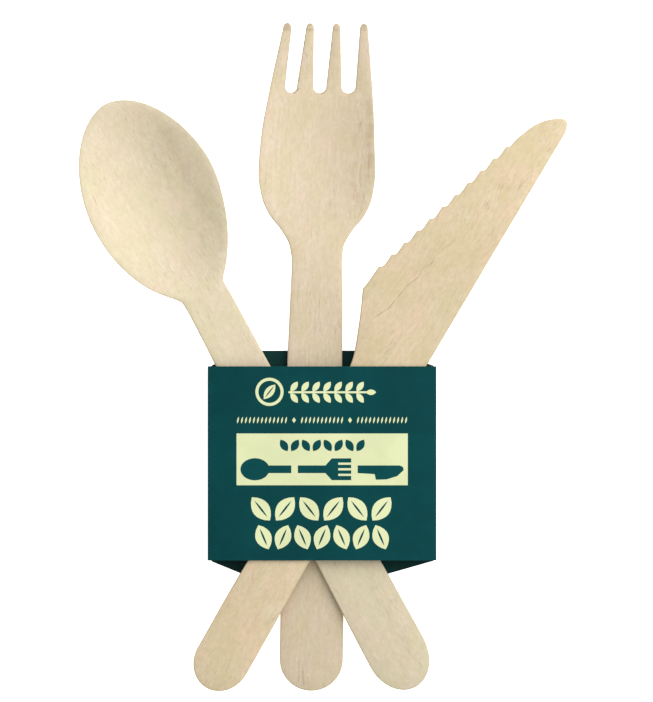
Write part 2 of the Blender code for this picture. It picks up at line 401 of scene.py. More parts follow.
def effect(name: str, inputs: dict[str, tuple[str, Any]], outputs: Sequence[str],
           fill: Callable[[Sheet, Any], dict[str, Any]]) -> bpy.types.NodeTree:
    """Builds a node group.

    Args:
        name: The group's name.
        inputs: Input name to (Float or Vector, default value).
        outputs: Names of the group's float outputs.
        fill: Places the inner nodes, given the sheet and the inputs, and returns the outputs.

    Returns:
        The finished group.
    """
    tree = bpy.data.node_groups.new(name, "ShaderNodeTree")
    for label, (kind, default) in inputs.items():
        socket = tree.interface.new_socket(label, in_out="INPUT",
                                           socket_type=f"NodeSocket{kind}")
        socket.default_value = default
    for label in outputs:
        tree.interface.new_socket(label, in_out="OUTPUT", socket_type="NodeSocketFloat")
    sheet = Sheet(tree)
    source = sheet.node("NodeGroupInput")
    target = sheet.node("NodeGroupOutput")
    for label, value in fill(sheet, source.outputs).items():
        tree.links.new(value, target.inputs[label])
    return tree


class Effects:
    """The shader effects that several of the pack's materials share."""

    def __init__(self) -> None:
        """Builds each node group once."""
        self.grain = effect(
            "birch_grain", {"Position": ("Vector", (0, 0, 0)), "Seed": ("Float", 0.0)},
            ("Fibre", "Bands", "Mottle", "Figure", "Tint", "Grit", "Pores", "Relief"),
            self._grain)
        self.hairline = effect(
            "split_and_shade_streak",
            {"Position": ("Vector", (0, 0, 0)), "Start X": ("Float", 0.0),
             "Start Y": ("Float", 0.0), "Length": ("Float", 10.0), "Slope": ("Float", 0.0),
             "Width": ("Float", 0.15), "Wander": ("Float", 0.5)}, ("Mask",), self._hairline)
        self.cut_edge = effect(
            "cut_edge", {"Position": ("Vector", (0, 0, 0)), "Patchiness": ("Float", 0.4)},
            ("Mask",), self._cut_edge)
        self.handling = effect(
            "handling_marks", {"Position": ("Vector", (0, 0, 0)), "Scale": ("Float", 0.08)},
            ("Mask",), self._handling)

    @staticmethod
    def _grain(sheet: Sheet, given: Any) -> dict[str, Any]:
        """Lays long fibres, wide bands, soft mottling, cross figure and pores along y.

        Args:
            sheet: The group's sheet.
            given: The group's inputs.

        Returns:
            Output name to its socket.
        """
        shift = sheet.node("CombineXYZ", {0: sheet.math("MULTIPLY", given["Seed"], 37.3),
                                          1: sheet.math("MULTIPLY", given["Seed"], 91.7),
                                          2: given["Seed"]}).outputs[0]
        place = sheet.node("VectorMath", {0: given["Position"], 1: shift}).outputs[0]
        sway = sheet.noise(sheet.stretch(place, (0.03, 0.012, 0.03)), 2.0)
        bend = sheet.node("CombineXYZ", {0: sheet.remap(sway, 0.2, 0.8, -3.0, 3.0)}).outputs[0]
        swayed = sheet.node("VectorMath", {0: place, 1: bend}).outputs[0]
        long = sheet.noise(sheet.stretch(swayed, (2.4, 0.09, 1.2)), 3.0, 0.6)
        short = sheet.noise(sheet.stretch(swayed, (2.3, 0.42, 1.5)), 4.0, 0.75)
        fibre = sheet.math("MULTIPLY_ADD", long, 0.4, sheet.math("MULTIPLY", short, 0.6))
        bands = sheet.noise(sheet.stretch(swayed, (0.42, 0.009, 0.2)), 3.0, 0.5)
        mottle = sheet.noise(sheet.stretch(place, (0.22, 0.13, 0.2)), 4.0, 0.65)
        figure = sheet.noise(sheet.stretch(place, (0.30, 0.42, 0.3)), 3.0, 0.6)
        tint = sheet.noise(sheet.stretch(place, (0.17, 0.11, 0.2), (41.0, 7.0, 0.0)), 3.0, 0.6)
        grit = sheet.noise(sheet.stretch(place, (1.2, 0.6, 1.5)), 4.0, 0.8)
        specks = sheet.noise(sheet.stretch(swayed, (2.6, 0.36, 2.0)), 3.0, 0.65)
        patch = sheet.noise(sheet.stretch(place, (0.12, 0.05, 0.2)), 1.0)
        pores = sheet.math("MULTIPLY", sheet.remap(specks, 0.56, 0.74),
                           sheet.remap(patch, 0.42, 0.6))
        relief = sheet.math("SUBTRACT", fibre, sheet.math("MULTIPLY", pores, 0.6))
        return {"Fibre": sheet.remap(fibre, 0.3, 0.7), "Bands": sheet.remap(bands, 0.3, 0.7),
                "Mottle": sheet.remap(mottle, 0.38, 0.62),
                "Figure": sheet.remap(figure, 0.36, 0.64),
                "Tint": sheet.remap(tint, 0.42, 0.62), "Grit": sheet.remap(grit, 0.36, 0.66),
                "Pores": pores, "Relief": relief}

    @staticmethod
    def _hairline(sheet: Sheet, given: Any) -> dict[str, Any]:
        """Draws a thin broken line that wanders along the grain.

        Args:
            sheet: The group's sheet.
            given: The group's inputs.

        Returns:
            The mask's name and socket.
        """
        parts = sheet.node("SeparateXYZ", {0: given["Position"]}).outputs
        along = sheet.math("SUBTRACT", parts[1], given["Start Y"])
        line = sheet.math("MULTIPLY_ADD", along, given["Slope"], given["Start X"])
        wobble = sheet.noise(sheet.stretch(given["Position"], (0.02, 0.2, 0.0)), 3.0, 0.45)
        shift = sheet.math("MULTIPLY", sheet.math("SUBTRACT", wobble, 0.5), given["Wander"])
        off = sheet.math("ABSOLUTE", sheet.math("SUBTRACT", parts[0],
                                                sheet.math("MULTIPLY_ADD", shift, 4.0, line)))
        thin = sheet.math("SUBTRACT", 1.0, sheet.math("DIVIDE", off, given["Width"]), clamp=True)
        share = sheet.math("DIVIDE", along, given["Length"])
        ends = sheet.math("MULTIPLY", sheet.remap(share, 0.0, 0.12), sheet.remap(share, 1.0, 0.8))
        patches = sheet.noise(sheet.stretch(given["Position"], (0.1, 0.55, 0.1)), 2.0)
        breaks = sheet.remap(patches, 0.3, 0.55, 0.15, 1.0)
        return {"Mask": sheet.math("MULTIPLY", sheet.math("MULTIPLY", thin, ends), breaks)}

    @staticmethod
    def _cut_edge(sheet: Sheet, given: Any) -> dict[str, Any]:
        """Marks the sawn or die-cut rim, a little unevenly along its length."""
        rim = sheet.node("Attribute", attribute_name="rim").outputs["Fac"]
        uneven = sheet.noise(sheet.stretch(given["Position"], (0.5, 0.5, 0.5)), 2.0)
        weak = sheet.math("MULTIPLY", sheet.remap(uneven, 0.35, 0.65), given["Patchiness"])
        return {"Mask": sheet.math("MULTIPLY", rim, sheet.math("SUBTRACT", 1.0, weak))}

    @staticmethod
    def _handling(sheet: Sheet, given: Any) -> dict[str, Any]:
        """Marks broad, faint patches such as handling and pressing leave."""
        scaled = sheet.node("VectorMath", {0: given["Position"], "Scale": given["Scale"]},
                            operation="SCALE").outputs[0]
        return {"Mask": sheet.remap(sheet.noise(scaled, 3.0, 0.6), 0.35, 0.68)}


@dataclass(frozen=True)
class SplitAndShade:
    """A dark hairline or soft streak on the wood, in the piece's own millimetres. Most are splits
    in the wood; some soft streaks are painted shade.

    It starts at (x, y), runs up the piece for its length, drifts across by slope and wander,
    and covers the share depth of the wood's colour. Width is half of what it covers.
    """

    x: float
    y: float
    length: float
    slope: float = 0.0
    width: float = 0.16
    wander: float = 0.5
    depth: float = 0.5

    def mask(self, sheet: Sheet, effects: Effects, place: Any) -> bpy.types.NodeSocket:
        """Places the hairline.

        Args:
            sheet: The material's sheet.
            effects: The shared shader effects.
            place: Socket of the position in the piece's own millimetres.

        Returns:
            The socket of its mask.
        """
        return sheet.group(effects.hairline, Position=place, Start_X=self.x, Start_Y=self.y,
                           Length=self.length, Slope=self.slope, Width=self.width,
                           Wander=self.wander)[0]


@dataclass(frozen=True)
class Birch:
    """Raw pressed birch veneer, with its own tone and its own run of the grain.

    Each share says how much of a layer's colour the wood takes where that layer is strongest.
    """

    name: str
    pale: Colour
    warm: Colour
    rose: Colour
    fibre: Colour
    seed: float
    butt_tone: float = 0.9
    tip_tone: float = 1.0
    splits_and_shades: tuple[SplitAndShade, ...] = ()
    mark_scale: float = 0.13
    rose_share: float = 0.8
    sallow_share: float = 0.75
    band_share: float = 0.2
    figure_share: float = 0.35
    grit_share: float = 0.42
    fibre_share: float = 0.36
    pore_share: float = 0.42
    sawn_share: float = 0.75
    specular: float = 0.25
    roughness: float = 0.62
    fibre_roughness: float = 0.12
    relief: float = 0.35
    relief_depth: float = 0.12 * MM

    def make(self, effects: Effects, base: Point, lean: float) -> bpy.types.Material:
        """Builds the material.

        Args:
            effects: The shared shader effects.
            base: Where the piece's own origin lies, in millimetres.
            lean: How far the piece leans to the right, in degrees.

        Returns:
            The finished material, whose grain runs along the piece.
        """
        mat = new_material(self.name, self.specular)
        sheet = Sheet(mat.node_tree)
        place = self._own_place(sheet, base, lean)
        grain = sheet.group(effects.grain, Position=place, Seed=self.seed)
        colour = self._veneer(sheet, effects, place, grain)
        height = grain["Relief"]
        # Colour of the splits, also used by the soft streaks that are painted shade.
        split_and_shade_tone = toned(self.fibre, 0.55, 0.45, 0.36)
        for split in self.splits_and_shades:
            line = split.mask(sheet, effects, place)
            colour = sheet.mix(sheet.math("MULTIPLY", line, split.depth), colour, split_and_shade_tone)
            height = sheet.math("SUBTRACT", height, line)
        rim = sheet.group(effects.cut_edge, Position=place)[0]
        colour = sheet.mix(sheet.math("MULTIPLY", rim, self.sawn_share), colour,
                           toned(self.fibre, 0.74, 0.72, 0.68))
        colour = self._tone_along_piece(sheet, place, colour)
        rough = sheet.math("MULTIPLY_ADD", grain["Fibre"], self.fibre_roughness, self.roughness)
        sheet.surface(colour, rough, height, self.relief, self.relief_depth)
        return mat

    @staticmethod
    def _own_place(sheet: Sheet, base: Point, lean: float) -> bpy.types.NodeSocket:
        """Undoes the piece's place and lean.

        Args:
            sheet: The material's sheet.
            base: Where the piece's own origin lies, in millimetres.
            lean: How far the piece leans to the right, in degrees.

        Returns:
            The socket of the position in the piece's own millimetres.
        """
        where = sheet.node("TexCoord").outputs["Object"]
        turn = Matrix.Rotation(math.radians(lean), 3, "Z")
        own = -(turn @ Vector((*base, 0.0)))
        return sheet.node("Mapping", {"Vector": where, "Location": own,
                                      "Rotation": (0.0, 0.0, math.radians(lean)),
                                      "Scale": (1 / MM, 1 / MM, 1 / MM)}).outputs[0]

    def _veneer(self, sheet: Sheet, effects: Effects, place: Any, grain: Any
                ) -> bpy.types.NodeSocket:
        """Lays the wood's colours over each other.

        Args:
            sheet: The material's sheet.
            effects: The shared shader effects.
            place: Socket of the position in the piece's own millimetres.
            grain: Outputs of the grain group.

        Returns:
            The socket of the wood's colour.
        """
        marks = sheet.group(effects.handling, Position=place, Scale=self.mark_scale)[0]
        layers = ((marks, self.rose_share, self.rose),
                  (grain["Tint"], self.sallow_share, toned(self.warm, 0.98, 1.04, 0.98)),
                  (sheet.remap(grain["Bands"], 0.25, 0.75), self.band_share,
                   toned(self.warm, 0.90)),
                  (grain["Figure"], self.figure_share, self.pale),
                  (grain["Grit"], self.grit_share, toned(self.warm, 0.80)),
                  (grain["Fibre"], self.fibre_share, self.fibre),
                  (grain["Pores"], self.pore_share, toned(self.fibre, 0.55)))
        colour = sheet.mix(grain["Mottle"], self.pale, self.warm)
        for mask, share, tint in layers:
            colour = sheet.mix(sheet.math("MULTIPLY", mask, share), colour, tint)
        return colour

    def _tone_along_piece(self, sheet: Sheet, place: Any, colour: Any) -> bpy.types.NodeSocket:
        """Changes the tone slowly from the handle's end to the head's tip.

        Args:
            sheet: The material's sheet.
            place: Socket of the position in the piece's own millimetres.
            colour: Socket of the wood's colour.

        Returns:
            The socket of the changed colour.
        """
        along = sheet.node("SeparateXYZ", {0: place}).outputs[1]
        tone = sheet.math("MULTIPLY", sheet.remap(along, -10.0, 120.0, self.butt_tone, 1.0),
                          sheet.remap(along, 112.0, 160.0, 1.0, self.tip_tone))
        return sheet.node("VectorMath", {0: colour, "Scale": tone}, operation="SCALE").outputs[0]


@dataclass(frozen=True)
class Card:
    """Coated card, plain or printed, with its faint fibre and handling marks."""

    name: str
    colour: Colour
    variation: float = 0.12
    roughness: float = 0.55
    specular: float = 0.12
    mark_scale: float = 0.09
    fleck_roughness: float = 0.18
    relief: float = 0.18
    relief_depth: float = 0.06 * MM

    def make(self, effects: Effects) -> bpy.types.Material:
        """Builds the material.

        Args:
            effects: The shared shader effects.

        Returns:
            The finished material.
        """
        mat = new_material(self.name, self.specular)
        sheet = Sheet(mat.node_tree)
        where = sheet.node("TexCoord").outputs["Object"]
        place = sheet.stretch(where, (1 / MM, 1 / MM, 1 / MM))
        marks = sheet.group(effects.handling, Position=place, Scale=self.mark_scale)[0]
        fleck = sheet.noise(sheet.stretch(place, (3.0, 3.0, 3.0)), 4.0, 0.7)
        colour = sheet.mix(marks, toned(self.colour, 1 - self.variation),
                           toned(self.colour, 1 + self.variation))
        colour = sheet.mix(sheet.remap(fleck, 0.35, 0.7, 0.0, 0.5), colour, self.colour)
        rim = sheet.group(effects.cut_edge, Position=place)[0]
        worn = tuple(c * 0.8 + 0.045 for c in self.colour)
        colour = sheet.mix(sheet.math("MULTIPLY", rim, 0.6), colour, worn)
        rough = sheet.math("MULTIPLY_ADD", fleck, self.fleck_roughness,
                           self.roughness - self.fleck_roughness / 2)
        sheet.surface(colour, rough, fleck, self.relief, self.relief_depth)
        return mat


# Cutlery

@dataclass
class WoodenPiece:
    """One piece of cutlery: a plate of veneer with eased edges, bent to its own height.

    The rim runs through rings, each an inset of the outline, a height from the plate's middle
    and how sawn it looks, so that the sawn edge is square with a small rounded arris.
    """

    node: str
    slot: str
    finish: Birch
    place: Point
    lean: float
    level: float
    step: float = 1.3
    fill_from: float = 84.0
    coarse_step: float = 4.0
    row_ratio: float = 0.87
    edge_step: float = 1.0
    rings: tuple[Point3, ...] = ((0.34, WOOD / 2, 0.0), (0.13, WOOD / 2 - 0.07, 0.55),
                                 (0.0, WOOD / 2 - 0.3, 1.0), (0.0, 0.3 - WOOD / 2, 1.0),
                                 (0.13, 0.07 - WOOD / 2, 0.55), (0.34, -WOOD / 2, 0.0))

    def outline(self) -> list[Point]:
        """Returns the piece's flat outline, counterclockwise."""
        raise NotImplementedError

    def height(self, x: float, y: float) -> float:
        """Returns the mid-height of the plate at a point."""
        return self.level

    def thinning(self, x: float, y: float) -> float:
        """Returns the share of the full thickness left at a point."""
        return 1.0

    def filling(self, edge: Sequence[Point]) -> list[Point]:
        """Fills the plate with staggered points, close together in the bent head.

        Args:
            edge: The outline of the flat face.

        Returns:
            The inner points.
        """
        left, right = min(x for x, _ in edge), max(x for x, _ in edge)
        top = max(y for _, y in edge)
        rows = spread(self.coarse_step, self.fill_from, self.coarse_step)[:-1]
        rows += spread(self.fill_from, top, self.step * self.row_ratio)
        points: list[Point] = []
        for row, y in enumerate(rows):
            step = self.step if y >= self.fill_from else self.coarse_step
            for x in spread(left, right, step):
                candidate = (x + (row % 2) * step / 2, y)
                if within(candidate, edge, step * 0.5):
                    points.append(candidate)
        return points

    def build(self) -> bpy.types.Object:
        """Builds the plate's mesh, marks its rim and lays it in its place.

        Returns:
            The piece, not yet dressed.
        """
        outline = refined(self.outline(), self.edge_step)
        loops = [inset(outline, ring[0]) for ring in self.rings]
        cap = loops[0]
        count = len(cap)
        edges = [(i, (i + 1) % count) for i in range(count)]
        points, tris, place = triangulated(cap + self.filling(cap), edges)
        total = len(points)
        rim_start = place[:count]
        verts: list[Point3] = []
        for side in (1.0, -1.0):
            lift = side * self.rings[0][1]
            verts += [(x, y, self.height(x, y) + lift * self.thinning(x, y)) for x, y in points]
        faces: list[Sequence[int]] = list(tris)
        faces += [tuple(total + i for i in reversed(t)) for t in tris]
        chains = [rim_start]
        for (_, lift, _), loop in zip(self.rings[1:-1], loops[1:-1]):
            chains.append(list(range(len(verts), len(verts) + count)))
            verts += [(x, y, self.height(x, y) + lift * self.thinning(x, y)) for x, y in loop]
        chains.append([total + i for i in rim_start])
        for upper, lower in zip(chains, chains[1:]):
            for i in range(count):
                j = (i + 1) % count
                faces.append((upper[j], upper[i], lower[i], lower[j]))
        piece = new_object(self.node + "_wood", verts, faces, sharp=50.0)
        rim = piece.data.attributes.new("rim", "FLOAT", "POINT")
        for chain, (_, _, sawn) in zip(chains, self.rings):
            for i in chain:
                rim.data[i].value = sawn
        turn = Matrix.Rotation(-math.radians(self.lean), 4, "Z")
        shift = Matrix.Translation((self.place[0] * MM, self.place[1] * MM, 0.0))
        piece.data.transform(shift @ turn)
        return piece

    def dress(self, piece: bpy.types.Object, effects: Effects) -> None:
        """Gives the piece its wood and ties it to the frame.

        Args:
            piece: The built piece.
            effects: The shared shader effects.
        """
        piece.data.materials.append(self.finish.make(effects, self.place, self.lean))
        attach(piece, BODY)
        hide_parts(self.node)


@dataclass
class Fork(WoodenPiece):
    """The fork: round handle end, waist, dished head and four tapered tines."""

    length: float = 165.3
    half_width: Stations = ((7.5, 7.85), (12, 7.85), (88, 6.7), (98, 6.5), (106, 6.25),
                            (110, 6.65), (114, 8.72), (118, 11.85), (122, 13.62), (128, 14.5),
                            (138, 14.03), (150, 12.63))
    shift: Stations = ((22, 0.0), (80, -0.12), (88, 0.0), (97, 0.12), (105, 0.18),
                       (111, 0.0), (118, -0.02), (128, -0.15), (134, -0.1), (150, 0.68),
                       (165, 1.45))
    end_bow: float = 7.8
    slot_bottom: float = 148.25
    wall_levels: Point = (150.0, 164.0)
    wall_start: float = 150.3
    outer_start: float = 151.5
    wall_end: float = 163.0
    tip_bow: float = 1.3
    head_half: float = 14.5
    outer_edges: tuple[Point, Point] = ((-11.95, -8.98), (13.31, 12.05))
    slots: tuple[tuple[Point, Point], ...] = (((-6.85, 2.98), (-5.08, 3.6)),
                                              ((0.29, 3.26), (0.98, 4.56)),
                                              ((7.42, 3.48), (7.63, 4.78)))
    rise: Stations = ((88, 1.5), (106, 2.9), (130, 1.1), (148, 2.6), (166, 6.1))
    dish: Stations = ((108, 0.0), (130, 2.5), (150, 1.8), (166, 0.8))

    def __post_init__(self) -> None:
        """Prepares the smooth profiles."""
        self.half, self.centre = Profile(self.half_width), Profile(self.shift)
        self.lift, self.curl = Profile(self.rise), Profile(self.dish)

    def outline(self) -> list[Point]:
        """Returns the handle, shoulders and tines as one outline."""
        levels = spread(12.0, 104.0, 4.0) + spread(105.0, 131.0, 1.0) + spread(133, 150, 2.0)
        right = [(self.centre(y) + self.half(y), y) for y in levels]
        left = [(self.centre(y) - self.half(y), y) for y in reversed(levels)]
        end_level, end_half = self.half_width[0]
        base = arc((0, end_level), end_half, self.end_bow, -180, 0, 40)
        return base + right + self.tines() + left

    def tines(self) -> list[Point]:
        """Returns the four tines and three round-bottomed slots, from right to left."""
        low, high = self.wall_levels
        tip = self.length - self.tip_bow

        def at(edge: Point, y: float) -> float:
            """Returns the x of a straight tine wall at height y."""
            return edge[0] + (edge[1] - edge[0]) * (y - low) / (high - low)

        walls = [self.outer_edges[0]]
        for (low_x, low_w), (high_x, high_w) in self.slots:
            walls.append((low_x - low_w / 2, high_x - high_w / 2))
            walls.append((low_x + low_w / 2, high_x + high_w / 2))
        walls.append(self.outer_edges[1])
        points: list[Point] = []
        for tine in (3, 2, 1, 0):
            left, right = walls[2 * tine], walls[2 * tine + 1]
            start = self.wall_start if tine < 3 else self.outer_start
            points += [(at(right, y), y) for y in spread(start, self.wall_end, 1.5)]
            middle = (at(left, tip) + at(right, tip)) / 2
            half = (at(right, tip) - at(left, tip)) / 2
            points += arc((middle, tip), half, self.tip_bow, 0, 180, 12)
            end = self.wall_start if tine > 0 else self.outer_start
            points += [(at(left, y), y) for y in spread(self.wall_end, end, 1.5)]
            if tine > 0:
                low_x, low_w = self.slots[tine - 1][0]
                radius = low_w / 2
                points += arc((low_x, self.slot_bottom + radius), radius, radius, -16, -164, 12)
        return points

    def height(self, x: float, y: float) -> float:
        """Returns a flat handle, then a head dished across its width."""
        return self.lift(y) + self.curl(y) * (x / self.head_half) ** 2


@dataclass
class Spoon(WoodenPiece):
    """The spoon: round handle end, straight taper, neck and egg-shaped bowl."""

    length: float = 162.4
    end: float = -1.15
    end_bow: float = 9.55
    handle: Stations = ((12, 7.5), (21, 7.37), (100, 5.82), (112, 5.7), (164, 5.0))
    bowl_centre: float = 137.0
    bowl_half_width: float = 16.65
    bowl_back: float = 28.0
    bowl_power: float = 1.85
    shift: Stations = ((22, 0.0), (60, -0.1), (90, -0.1), (98, -0.02), (106, 0.02),
                       (112, -0.2), (118, -0.45), (126, -0.33), (137, 0.15), (163, 0.65))
    rise: Stations = ((84, 3.4), (110, 5.5), (136, 6.5), (164, 6.9))
    depth: float = 5.5
    bowl_roundness: float = 1.3
    neck_sharpness: float = 6.0

    def __post_init__(self) -> None:
        """Prepares the smooth profiles."""
        self.taper, self.centre, self.lift = (Profile(self.handle), Profile(self.shift),
                                              Profile(self.rise))

    def reach(self, y: float) -> float:
        """Returns the bowl's reach from its widest line, on the side of y."""
        return self.bowl_back if y < self.bowl_centre else self.length - self.bowl_centre

    def half(self, y: float) -> float:
        """Blends the handle into the bowl with a small fillet.

        Args:
            y: Along the spoon.

        Returns:
            The half width there.
        """
        t = min(1.0, abs(y - self.bowl_centre) / self.reach(y))
        bowl = self.bowl_half_width * (1 - t ** self.bowl_power) ** (1 / self.bowl_power)
        if y > self.bowl_centre:
            return bowl
        sharp = self.neck_sharpness
        return (self.taper(y) ** sharp + bowl ** sharp) ** (1 / sharp)

    def outline(self) -> list[Point]:
        """Returns the handle, the neck and the bowl as one outline."""
        levels = spread(12.0, 104.0, 4.0) + spread(105.0, 118.0, 0.5) + spread(119, 136, 1.0)
        front = self.length - self.bowl_centre
        levels += [self.bowl_centre + front * math.sin(math.radians(a)) for a in range(2, 89, 2)]
        right = [(self.centre(y) + self.half(y), y) for y in levels]
        left = [(self.centre(y) - self.half(y), y) for y in reversed(levels)]
        base = arc((0, self.end + self.end_bow), self.handle[0][1], self.end_bow, -180, 0, 40)
        return base + right + [(self.centre(self.length), self.length)] + left

    def height(self, x: float, y: float) -> float:
        """Returns a flat handle that rises to a shallow, pressed bowl."""
        across = (x - self.centre(y)) / self.bowl_half_width
        along = (y - self.bowl_centre) / self.reach(y)
        hollow = max(0.0, 1 - across ** 2 - along ** 2) ** self.bowl_roundness
        return self.lift(y) - self.depth * hollow


@dataclass
class Knife(WoodenPiece):
    """The knife: its spine runs close to x = 0 and its stepped teeth are on the left."""

    end: float = -1.1
    end_bow: float = 7.8
    handle_edges: tuple[float, float] = (-13.62, 0.15)
    flare: Stations = ((9, -13.62), (22, -13.85), (40, -13.75), (60, -14.1), (86, -16.5),
                       (96, -19.95), (103.7, -23.42))
    spine: Stations = ((9, 0.15), (24, -0.2), (40, -0.5), (60, -0.5), (100, -0.12), (128, 0.0),
                       (162.6, 0.2))
    teeth: int = 11
    pitch: float = 4.15
    tooth_step: float = 1.205
    first_tooth: Point = (-22.82, 110.4)
    tooth: Sequence[Point] = ((0.0, 0.0), (0.62, 0.42), (0.98, 0.95), (1.14, 2.2))
    heel: Point = (-23.1, 106.0)
    heel_corner: float = 103.7
    bevel_start: float = 100.0
    bevel_edge: float = -23.5
    bevel_width: float = 4.5
    bevel_share: float = 0.62
    tip: Sequence[Point] = ((-9.3, 155.4), (-7.4, 160.0), (-5.0, 163.1), (-2.15, 165.05),
                            (-0.65, 164.8), (0.2, 162.6))

    def outline(self) -> list[Point]:
        """Returns the handle, heel, teeth, tip and spine as one outline."""
        left, right = self.handle_edges
        base = arc(((left + right) / 2, self.end + self.end_bow), (right - left) / 2,
                   self.end_bow, -180, 0, 40)
        waist, flare = Profile(self.spine), Profile(self.flare)
        back = [(waist(y), y) for y in spread(12.0, 156.0, 4.0)]
        tip = list(reversed(curve(self.tip, 10)))
        belly = [(flare(y), y) for y in spread(12.0, self.heel_corner, 1.5)]
        return base + back + tip + list(reversed(self.tooth_row())) + list(reversed(belly))

    def tooth_row(self) -> list[Point]:
        """Returns the teeth: a shallow hollow along each one, then a short step inwards."""
        points: list[Point] = [self.heel]
        x, y = self.first_tooth
        for number in range(self.teeth):
            left, low = x + number * self.tooth_step, y + number * self.pitch
            points += [(left + across, low + up) for across, up in self.tooth]
        return points

    def thinning(self, x: float, y: float) -> float:
        """Thins the blade in a slight bevel behind the teeth.

        Args:
            x: Across the knife.
            y: Along the knife.

        Returns:
            The share of the full thickness that is left.
        """
        if y < self.bevel_start:
            return 1.0
        line = self.first_tooth[0] + (y - self.first_tooth[1]) * self.tooth_step / self.pitch
        behind = x - max(line, self.bevel_edge)
        full = min(1.0, max(0.0, behind / self.bevel_width))
        return self.bevel_share + (1 - self.bevel_share) * full


# Sleeve

class Print(Enum):
    """What a face of the sleeve's card carries, in the order of its material slots."""

    GREEN = 0
    INSIDE = 1
    INK = 2
    LABEL = 3
    DARK_INK = 4
    CORE = 5


CARD_FINISHES = {
    Print.GREEN: Card("green_card_face", (0.0012, 0.0465, 0.0500), specular=0.05),
    # Inside of the card: a dark green print, darkened further with painted shade for the shade
    # under the front panel.
    Print.INSIDE: Card("card_inside_with_painted_shade", (0.0023, 0.0265, 0.0247), roughness=0.75),
    Print.INK: Card("pale_ink", (0.63, 0.67, 0.39), 0.05, 0.6),
    Print.LABEL: Card("label_ink", (0.62, 0.66, 0.385), 0.05, 0.6),
    Print.DARK_INK: Card("dark_ink", (0.0015, 0.056, 0.060), specular=0.05),
    Print.CORE: Card("card_core", (0.020, 0.070, 0.068), roughness=0.85),
}


@dataclass(frozen=True)
class Motif:
    """One closed printed shape on the front panel."""

    outline: Sequence[Point]
    ink: Print = Print.INK


